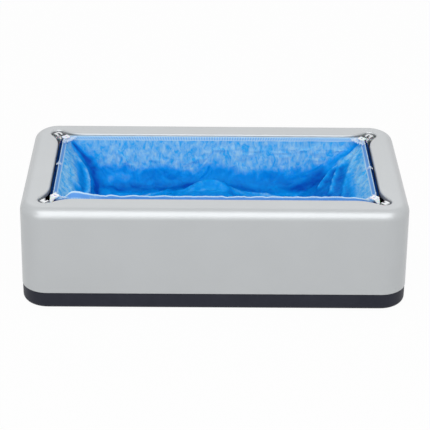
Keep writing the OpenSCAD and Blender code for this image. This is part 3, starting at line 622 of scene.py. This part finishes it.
folds = list(FOLDS)
wall_vertices = rings[-1][-1] + 1
for _ in range(SMALL_RIDGES):
    start = Vector(points[random.randrange((HEM_ROWS + 2) * ring_count, wall_vertices)])
    turn = random.uniform(0, 2 * math.pi)
    span = random.uniform(6, 18)
    step = Vector((span * math.cos(turn), span * 0.15, span * math.sin(turn)))
    folds.append(((tuple(start), tuple(start + step)), random.uniform(0.3, 0.9), random.uniform(1.5, 2.8)))

place = np.array(points, float)
normals = np.array([v.normal for v in film_mesh.vertices], float)
# A fold is pushed into the pocket, so the normals of the back wall have to face the front.
if normals[rings[0][LONG_STEPS // 2]][1] > 0:
    normals = -normals
push = np.zeros(len(points))
for line, height, width in folds:
    box_low = np.min(line, axis=0) - 2.5 * width
    box_high = np.max(line, axis=0) + 2.5 * width
    for i in np.nonzero(((place > box_low) & (place < box_high)).all(axis=1))[0]:
        gap, share = near(place[i], line)
        push[i] += height * bell(gap / width) * min(1, 0.35 + 2 * share)
push = np.maximum(push, DEEPEST)
hem_fade = np.clip((np.array(down) - 0.6) / 0.8, 0, 1)
place += normals * (push * hem_fade)[:, None]
hump = np.array([
    HUMP_HIGH * bell((x - HUMP_X) / HUMP_HALF_LONG) * bell((y - HUMP_Y) / HUMP_HALF_WIDE)
    * min(1, (HEM_Z - z) / 50) ** 2 for x, y, z in points])
place[:, 2] += hump
print("folds:", len(folds), "largest push mm:", round(float(np.abs(push).max()), 1))

# %% [markdown]
# The front hem stands loose above the rim and leans in, and near the left corner it flops inwards
# as a pale flap. The other sides are pulled straight.

# %% Loose hem in front
FRONT_IN, FRONT_UP = 4.2, 2.2
FLAP_X, FLAP_HALF, FLAP_IN, FLAP_UP = -152, 16, 12, -0.8
SIDE_LINE = 75  # a point of the hem farther than this from the middle line is on a long side
for i, (x, y, z) in enumerate(points):
    if down[i] <= 1.0 and y < -SIDE_LINE:
        free = smooth(172, 158, abs(x)) * (1 - down[i] / 1.5)
        wide = noise.noise(Vector((x * 0.11, 3.7, 0)))
        narrow = noise.noise(Vector((x * 0.33, 9.1, 0)))
        ragged = wide * 1.1 + narrow * 0.8
        flop = bell((x - FLAP_X) / FLAP_HALF)
        place[i][1] += free * (FRONT_IN + 0.8 * ragged + flop * FLAP_IN)
        place[i][2] += free * (FRONT_UP + ragged + flop * FLAP_UP)

film_mesh.vertices.foreach_set("co", (place * MM).astype(np.float32).ravel())
film_mesh.update()
print("front hem, highest point mm:", round(float(place[:, 2].max()), 1))

# %% [markdown]
# The simulation. The hem is held where the buckles pull it, the covers below are the surface that
# the film may not pass, and the cloth wants to be a few per cent larger than it was drawn, which
# makes it buckle into the small facets of crumpled film. The rest of the film is tied loosely to
# where the folds put it. The result is applied to the mesh.

# %% Crumple the film
FRAMES = 16
SPARE = 0.045
FREE_ROW = 14  # from here down the film is tied least, and it is free to move from the row above on
held = film.vertex_groups.new(name="held")
held.add(list(range(HEM_ROWS * ring_count)), 1.0, "REPLACE")
loose = np.ones(len(points))
for row in range(HEM_ROWS, ROWS + 1):
    last = (row + 1) * ring_count if row < ROWS else len(points)
    held.add(list(range(row * ring_count, last)), 0.3 + 0.6 * smooth(FREE_ROW, HEM_ROWS, row), "REPLACE")
    loose[row * ring_count:last] = 0.1 + 0.9 * smooth(HEM_ROWS, FREE_ROW - 1, row)
trough_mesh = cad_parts["cover_pack"].data.copy()
trough = bpy.data.objects.new("trough", trough_mesh)
bpy.context.collection.objects.link(trough)
surface = BVHTree.FromPolygons(
    [v.co for v in trough_mesh.vertices], [p.vertices for p in trough_mesh.polygons])
HEART_LEFT, HEART_RIGHT, HEART_Z = -115, 85, 114  # a line in the pocket that every wall can be seen from


def keep_inside(positions, gap=1.0):
    """Draws points that lie in the covers back towards the pocket's middle, until they are clear."""
    moved = 0
    for p in positions:
        middle = Vector((min(HEART_RIGHT, max(HEART_LEFT, p[0])), 0.3 * p[1], HEART_Z)) * MM
        way = Vector(p) * MM - middle
        hit = surface.ray_cast(middle, way, way.length + gap * MM)[0]
        if hit:
            clear = middle + way.normalized() * ((hit - middle).length - gap * MM)
            p[:] = clear / MM
            moved += 1
    return moved


print("points drawn off the covers:", keep_inside(place))
film_mesh.vertices.foreach_set("co", (place * MM).astype(np.float32).ravel())
before = place.copy()
trough.modifiers.new("surface", "COLLISION")
trough.collision.thickness_outer = 0.3 * MM
trough.collision.cloth_friction = 5
drape = film.modifiers.new("drape", "CLOTH")
cloth = drape.settings
cloth.quality = 5
cloth.mass = 0.02
cloth.air_damping = 2
cloth.tension_stiffness = 12
cloth.compression_stiffness = 8
cloth.shear_stiffness = 6
cloth.bending_stiffness = 0.05
cloth.shrink_min = -SPARE
cloth.vertex_group_mass = "held"
cloth.pin_stiffness = 0.6
drape.collision_settings.distance_min = 0.6 * MM
drape.collision_settings.use_self_collision = False
drape.point_cache.frame_start = 1
drape.point_cache.frame_end = FRAMES
scene = bpy.context.scene
for step in range(1, FRAMES + 1):
    scene.frame_set(step)
bpy.ops.object.select_all(action="DESELECT")
film.select_set(True)
bpy.context.view_layer.objects.active = film
bpy.ops.object.modifier_apply(modifier="drape")
scene.frame_set(1)
after = np.array([v.co for v in film.data.vertices], float) / MM
far = np.linalg.norm(after - before, axis=1)
print("moved mm, mean and most:", round(float(far.mean()), 2), round(float(far.max()), 2))
after = before + (after - before) * loose[:, None]
print("drawn off again:", keep_inside(after))
film.data.vertices.foreach_set("co", (after * MM).astype(np.float32).ravel())
bpy.data.objects.remove(trough)

# %% [markdown]
# How deep the blue is at each point of the film, with light and shade painted into it: pale where the
# walls above the pile are lit, deep where the film touches the pile, partly its own deeper blue and partly
# painted shade, painted shade in the valleys and creases between the folds and behind the hump, and a
# painted highlight on their crests. In the hem the same attribute says how blue its middle looks, as
# painted light coming through it: little at the back, most in front, where the light doesn't come
# through it, and little again on the flap.

# %% How deep the blue is, with painted shade
PILE_TOP = 85  # the film touches the pile from about this height down
# Lines of painted shade: the crease in the back left corner, the valley from the back right corner, and the
# shadow behind the hump.
LEFT_CREASE_SHADE = (
    (-168, 79, 113), (-160, 77, 105), (-150, 73, 93), (-145, 71, 86), (-143, 68, 76), (-142, 58, 68),
    (-141, 40, 66))
RIGHT_VALLEY_SHADE = (
    (170, 78, 114), (162, 76, 105), (141, 73, 92), (126, 69, 82), (118, 66, 74), (108, 58, 66),
    (102, 46, 62))
HUMP_SHADOW = ((-34, 60, 66), (-18, 60, 75), (-2, 59, 77), (12, 52, 74), (24, 34, 68))


def depth_and_painted_shade_at(x, y, z, raised):
    """0 is film in painted light, about 0.6 film over the pile with painted shade, and 1 or more the
    painted shade at the bottom of a valley.
    """
    edge = (PILE_TOP + 4 * bell((x + 92) / 28) + 9 * noise.noise(Vector((x * 0.035, 1.5, 0)))
            + 4 * noise.noise(Vector((x * 0.15, 7.5, z * 0.1))))
    # Deep over the pile: partly the film's own deeper blue on the covers, partly painted shade.
    shade = 0.6 * smooth(edge + 8, edge - 7, z)
    # The left end and the right fan: a pale outer band, then painted shade, deeper low on the left end and
    # away from the rim in the fan.
    at_left = smooth(-134, -147, x)
    inner = smooth(-1, 1, x + 163.4 + 0.072 * y)
    shade = shade * (1 - at_left) + (0.04 + (0.14 + 0.52 * smooth(108, 90, z)) * inner) * at_left
    fan = smooth(100, 130, x) * smooth(70, 55, y)
    shade = shade * (1 - fan) + (0.12 + 0.72 * smooth(167, 149, x)) * fan
    spot = np.array((x, y, z))
    # Painted shade along the crease, the valley and behind the hump, and at the foot of the back wall.
    gap, share = near(spot, LEFT_CREASE_SHADE)
    shade += max(0, 1.3 - shade) * (0.65 + 0.35 * share) * bell(gap / (2.0 + 3.4 * share))
    gap, share = near(spot, RIGHT_VALLEY_SHADE)
    shade += (1 - shade) * (0.58 - 0.28 * share) * bell(gap / (4 + 8 * share))
    gap, share = near(spot, HUMP_SHADOW)
    shade += (1 - shade) * 0.7 * bell(gap / 2.6)
    shade += 0.3 * bell((y - 58) / 6) * smooth(78, 66, z)
    # Painted highlight on the crests of the folds and the hump, painted shade in their hollows.
    return min(1.3, max(0, shade - 0.12 * max(-0.8, raised)))


def hem_painted_shade(x, y):
    """How blue the middle of the hem looks, as painted light through it: at the back, in front with its
    flap, and at the ends.
    """
    if y > SIDE_LINE:
        return 0.0
    if y < -SIDE_LINE:
        return 0.85 - 0.75 * bell((x - FLAP_X) / FLAP_HALF)
    return 0.8


film_mesh = film.data
# How high a point stands on its fold and the hump, which sets its painted highlight.
raised = push + 0.07 * hump
shades = []
for i, vertex in enumerate(film_mesh.vertices):
    x, y, z = vertex.co / MM
    in_hem = down[i] < 0.9
    shades.append(hem_painted_shade(x, y) if in_hem else depth_and_painted_shade_at(x, y, z, raised[i]))
print("shade, least and most:", round(min(shades), 2), round(max(shades), 2))

# %% [markdown]
# The values go into the mesh, where the finish reads them, and one level of subdivision makes the
# film's curves even.

# %% Finish the film's surface
for name, values in (("shade", shades), ("down", down), ("along", along)):
    film_mesh.attributes.new(name, "FLOAT", "POINT").data.foreach_set("value", values)
film_mesh.materials.append(film_finish)
for polygon in film_mesh.polygons:
    polygon.use_smooth = True
smoother = film.modifiers.new("fine", "SUBSURF")
smoother.levels = smoother.render_levels = 1
bpy.ops.object.select_all(action="DESELECT")
film.select_set(True)
bpy.context.view_layer.objects.active = film
bpy.ops.object.modifier_apply(modifier="fine")
area = sum(p.area for p in film.data.polygons)
print("film area m2:", round(area, 4), "faces:", len(film.data.polygons))
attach(film, "dispenser")
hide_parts("top_cover")

# %% [markdown]
# What goes with the film: the milky gathers where the buckles pull its corners, and the ends of the
# two side seams, which stand out over the slits.

# %% Milky film and its sheets
def grid_piece(name, columns, rows, place_of, material):
    """A sheet of columns by rows points, each where place_of says, in millimetres."""
    vertices = [place_of(i, j) for j in range(rows) for i in range(columns)]
    quads = []
    for j in range(rows - 1):
        for i in range(columns - 1):
            first = j * columns + i
            quads.append((first, first + 1, first + columns + 1, first + columns))
    mesh = bpy.data.meshes.new(name)
    mesh.from_pydata([Vector(v) * MM for v in vertices], [], quads)
    for polygon in mesh.polygons:
        polygon.use_smooth = True
    mesh.materials.append(material)
    piece = bpy.data.objects.new(name, mesh)
    bpy.context.collection.objects.link(piece)
    return piece


PUCKER_MM = 2


def milky_film_material():
    material, tree = new_material("milky_film")
    place = add(tree, "ShaderNodeTexCoord")
    wrinkle = add(tree, "ShaderNodeTexNoise", {"Vector": place.outputs["Object"]},
                  Scale=1 / (PUCKER_MM * MM), Detail=4.0, Distortion=1.0)
    ramp = add(tree, "ShaderNodeValToRGB", {"Fac": wrinkle.outputs["Fac"]})
    for stop, position, tint in zip(ramp.color_ramp.elements, (0.35, 0.6), ("#a9cdea", "#f2f6fa")):
        stop.position, stop.color = position, colour(tint)
    bump = add(tree, "ShaderNodeBump", {"Height": wrinkle.outputs["Fac"]}, Strength=0.5, Distance=0.6 * MM)
    shader = add(tree, "ShaderNodeBsdfPrincipled", {
        "Base Color": ramp.outputs["Color"], "Normal": bump.outputs["Normal"],
    }, Roughness=0.35, IOR=1.5)
    through = add(tree, "ShaderNodeBsdfTranslucent", {"Color": ramp.outputs["Color"]})
    mixed = add(tree, "ShaderNodeMixShader", {1: shader.outputs[0], 2: through.outputs[0]}, Fac=0.35)
    add(tree, "ShaderNodeOutputMaterial", {"Surface": mixed.outputs[0]})
    return material


milky_film = milky_film_material()
print("milky film:", milky_film.name)

# %% [markdown]
# A gather spreads from a buckle as a fan with pleats, which droop between its two edges. The formula
# is for the back right corner, and the sign of x and y turns it to the others. Each has its number
# in the noise, so no two are alike. The seam ends are small curled tabs made in the same way.

# %% Gathers and seam ends
GATHER_COLUMNS, GATHER_ROWS = 41, 9
BUCKLE_X, BUCKLE_Y, BUCKLE_Z = 177.5, 77.5, 122.9  # where a buckle's pad ends and the gather starts
SEAM_COLUMNS, SEAM_ROWS = 9, 7
SEAM_X, SEAM_Z = 175.5, 119.6
SIGNS = {"fl": (-1, -1), "fr": (1, -1), "bl": (-1, 1), "br": (1, 1)}


def gather_place(i, j, number):
    """A point of the gather at the back right buckle; the number gives each of the four its own pleats."""
    spread = 2 * i / (GATHER_COLUMNS - 1) - 1
    out = j / (GATHER_ROWS - 1)
    angle = math.radians(180 + 45 + 50 * spread)
    reach = 1.5 + out * (9 + 6 * spread ** 2 + 1.2 * noise.noise(Vector((spread * 3, number * 5.3, 0))))
    crumple = noise.noise(Vector((spread * 6, out * 3, number)))
    pleat = math.cos(spread * 17 + number) * 0.8 * out + crumple * 0.9
    z = BUCKLE_Z - 0.22 * reach * (1 - spread ** 2) - 0.05 * reach + pleat
    return BUCKLE_X + reach * math.cos(angle), BUCKLE_Y + reach * math.sin(angle), z


def seam_place(i, j, mid_y):
    """A point of the right seam's end, which stands up over the slit and droops on the far side."""
    out = j / (SEAM_ROWS - 1)
    spread = i / (SEAM_COLUMNS - 1) - 0.5
    z = SEAM_Z + 2.6 * math.sin(math.pi * min(1, out * 1.15)) + 0.5 * math.cos(spread * 9 + out * 3)
    return SEAM_X + 6.2 * out, mid_y + spread * (5.5 - 2.5 * out) + out, z


def turned(point, signs):
    """The point mirrored to another end or side, where its sign is -1."""
    return signs[0] * point[0], signs[1] * point[1], point[2]


with_film = []
for number, corner in enumerate(CORNERS):
    with_film.append(grid_piece(
        "corner_gather_" + corner, GATHER_COLUMNS, GATHER_ROWS,
        lambda i, j: turned(gather_place(i, j, number), SIGNS[corner]), milky_film))
for side_name, sign, mid_y in (("left", -1, 8), ("right", 1, 2)):
    with_film.append(grid_piece(
        "seam_end_" + side_name, SEAM_COLUMNS, SEAM_ROWS,
        lambda i, j: turned(seam_place(i, j, mid_y), (sign, 1)), milky_film))
for piece in with_film:
    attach(piece, "dispenser")
print("pieces with the film:", [piece.name for piece in with_film])

# %% [markdown]
# The hems of the covers that wait below are piled round the film, a little lower than its own hem.
# In the slits they show as dark blue edges, one behind another: the same blue film, painted dark
# navy as painted shade.

# %% Piled hems
PILE_LAYERS, PILE_DEEP = 5, 9
PILE_Z = 118.3
LEVELS = ((0.0, 0.0), (0.3, 0.25), (2.0, 0.45), (PILE_DEEP, 0.5))  # how far down, how far in
pile_vertices = []
for layer in range(PILE_LAYERS):
    outward = layer / (PILE_LAYERS - 1)
    outline = ring(177.4 + 4.6 * outward, 177.4 + 4.6 * outward, 81.6 + 1.5 * outward, 10 + 2 * outward)
    for drop, lean in LEVELS:
        for i, (x, y) in enumerate(outline):
            turn = i / len(outline) * 2 * math.pi
            wave = noise.noise(Vector((math.cos(turn) * 30, math.sin(turn) * 30, layer * 4.7)))
            inward = lean + 0.35 * noise.noise(Vector((x * 0.2, y * 0.2, layer * 2.1)))
            x, y = x - math.copysign(inward, x), y - math.copysign(inward, y)
            z = PILE_Z + 0.25 * layer + 0.8 * wave - drop
            pile_vertices.append(Vector((x, y, z)) * MM)
pile_faces = []
for layer in range(PILE_LAYERS):
    for level in range(len(LEVELS) - 1):
        first = (layer * len(LEVELS) + level) * ring_count
        for i in range(ring_count):
            n = (i + 1) % ring_count
            pile_faces.append((first + i, first + n, first + ring_count + n, first + ring_count + i))
pile_mesh = bpy.data.meshes.new("piled_hems")
pile_mesh.from_pydata(pile_vertices, [], pile_faces)
for polygon in pile_mesh.polygons:
    polygon.use_smooth = True
for name, value in (("shade", 0.0), ("down", 2.0), ("along", 0.0)):
    pile_mesh.attributes.new(name, "FLOAT", "POINT").data.foreach_set("value", [value] * len(pile_vertices))
pile_mesh.materials.append(shaded_pack_film)
pile = bpy.data.objects.new("piled_hems", pile_mesh)
bpy.context.collection.objects.link(pile)
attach(pile, "follower_fl")

# The CAD pack gets the same film painted dark as painted shade.
pack_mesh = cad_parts["cover_pack"].data
pack_mesh.materials.clear()
pack_mesh.materials.append(shaded_pack_film)
print("piled hems, faces:", len(pile_faces))

# %% [markdown]
# The stage: a plain floor that keeps the soft shadow, and pale surroundings. The camera sees both
# nearly white, and so do metal and clear plastic in what they mirror and let through, but the light
# that they throw on the object stays at a level where a colour shows about as it is written.

# %% Floor and background
WHITENED = 0.97  # the rest of the floor's look is its own grey, with the shadow in it


def seen(tree):
    """1 where the camera, a mirror or clear plastic shows the surroundings, 0 for light on the object."""
    path = add(tree, "ShaderNodeLightPath")
    sight = path.outputs["Is Camera Ray"]
    for kind in ("Is Glossy Ray", "Is Transmission Ray"):
        larger = add(tree, "ShaderNodeMath", {0: sight, 1: path.outputs[kind]}, operation="MAXIMUM")
        sight = larger.outputs[0]
    return sight


bpy.ops.mesh.primitive_plane_add(size=6, location=(0, 0, 0))
floor = bpy.context.object
floor.name = "studio_floor"
floor_material, tree = new_material("white_floor")
shader = add(tree, "ShaderNodeBsdfDiffuse", Color=colour("#c9c9c9"))
white = add(tree, "ShaderNodeEmission", Strength=1.0)
whitened = add(tree, "ShaderNodeMath", {0: seen(tree)}, operation="MULTIPLY")
whitened.inputs[1].default_value = WHITENED
mixed = add(tree, "ShaderNodeMixShader",
            {0: whitened.outputs[0], 1: shader.outputs[0], 2: white.outputs[0]})
add(tree, "ShaderNodeOutputMaterial", {"Surface": mixed.outputs[0]})
floor.data.materials.append(floor_material)

world = bpy.data.worlds.new("studio")
bpy.context.scene.world = world
world.use_nodes = True
tree = world.node_tree
tree.nodes.clear()
way = add(tree, "ShaderNodeTexCoord")
parts = add(tree, "ShaderNodeSeparateXYZ", {"Vector": way.outputs["Generated"]})
glow = add(tree, "ShaderNodeMapRange", {"Value": parts.outputs["Y"]}, From_Min=-1.0, To_Min=0.4, To_Max=0.8)
strength = add(tree, "ShaderNodeMix", {"Factor": seen(tree), "A": glow.outputs["Result"]},
               data_type="FLOAT", B=1.0)
background = add(tree, "ShaderNodeBackground", {"Strength": strength.outputs[0]}, Color=(1, 1, 1, 1))
add(tree, "ShaderNodeOutputWorld", {"Surface": background.outputs[0]})
print("stage:", floor.name, world.name)

# %% [markdown]
# The lamps are large and soft, as in a studio. The key lamp stands high in front and gives the
# broad highlight on the rounded top edge, the top lamp stands behind and lights the film from above,
# and a weak one low in front fills the front wall.

# %% Lamps
LAMPS_AIM = Vector((0, 0, 60)) * MM


def soft_lamp(name, location, size, power):
    data = bpy.data.lights.new(name, "AREA")
    data.shape = "RECTANGLE"
    data.size, data.size_y = size
    data.energy = power
    lamp = bpy.data.objects.new(name, data)
    bpy.context.collection.objects.link(lamp)
    lamp.location = location
    lamp.rotation_euler = (LAMPS_AIM - Vector(location)).to_track_quat("-Z", "Y").to_euler()
    print("lamp:", name, power, "W")


soft_lamp("key_lamp", (0, -1.3, 1.45), (2.4, 1.9), 26)
soft_lamp("top_lamp", (0, 1.4, 1.3), (2.4, 0.8), 3.4)
soft_lamp("front_lamp", (-0.75, -1.85, 0.4), (1.6, 0.6), 4.2)

bpy.context.scene.view_settings.view_transform = "Standard"
